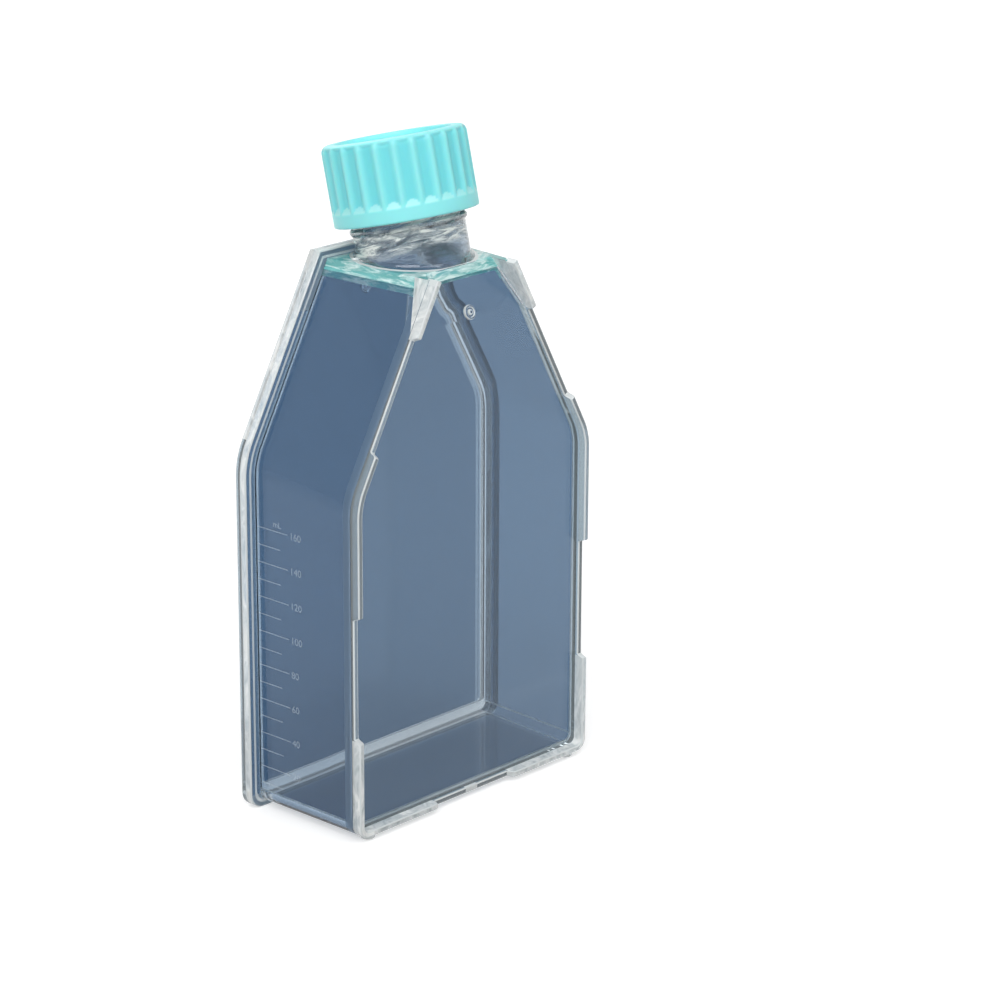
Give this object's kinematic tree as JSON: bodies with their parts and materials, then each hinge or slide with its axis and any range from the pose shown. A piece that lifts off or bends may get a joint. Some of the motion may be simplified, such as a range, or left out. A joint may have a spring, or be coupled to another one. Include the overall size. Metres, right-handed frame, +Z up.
{
  "type": "cell culture flask",
  "caption": "Clear plastic flask with a broad flat front, sloping shoulders, a welded rear plate, a canted neck and a ribbed turquoise screw cap.",
  "frame": {"origin": "at floor level, in the middle of the whole flask's box, cap included", "axes": "+Z up, +X across the width, -Y out of the broad front wall, +Y out of the welded rear plate"},
  "size_m": [0.0858, 0.0438, 0.1624],
  "materials": {
    "clear_plastic": "clear polystyrene, polished mould, bright at its edges",
    "cap_plastic": "turquoise polyethylene, satin",
    "liner_foam": "white foam disc, matte"
  },
  "bodies": {
    "flask": {"flask_body": "clear_plastic", "rear_plate": "clear_plastic"},
    "liner": {"seal_liner": "liner_foam"},
    "cap": {"screw_cap": "cap_plastic"}
  },
  "joints": [
    {"name": "cap_rise", "type": "slide", "parent": "flask", "child": "liner", "axis": [0, 0.2385, 0.9711], "range_m": [0, 0.009]},
    {"name": "cap_turn", "type": "hinge", "parent": "liner", "child": "cap", "pos_m": [0, -0.00111, 0.131], "axis": [0, 0.2385, 0.9711], "range_deg": [0, 810]}
  ],
  "couplings": [
    {"joint": "cap_turn", "follows": "cap_rise", "rad_per_m": 1570.8}
  ]
}
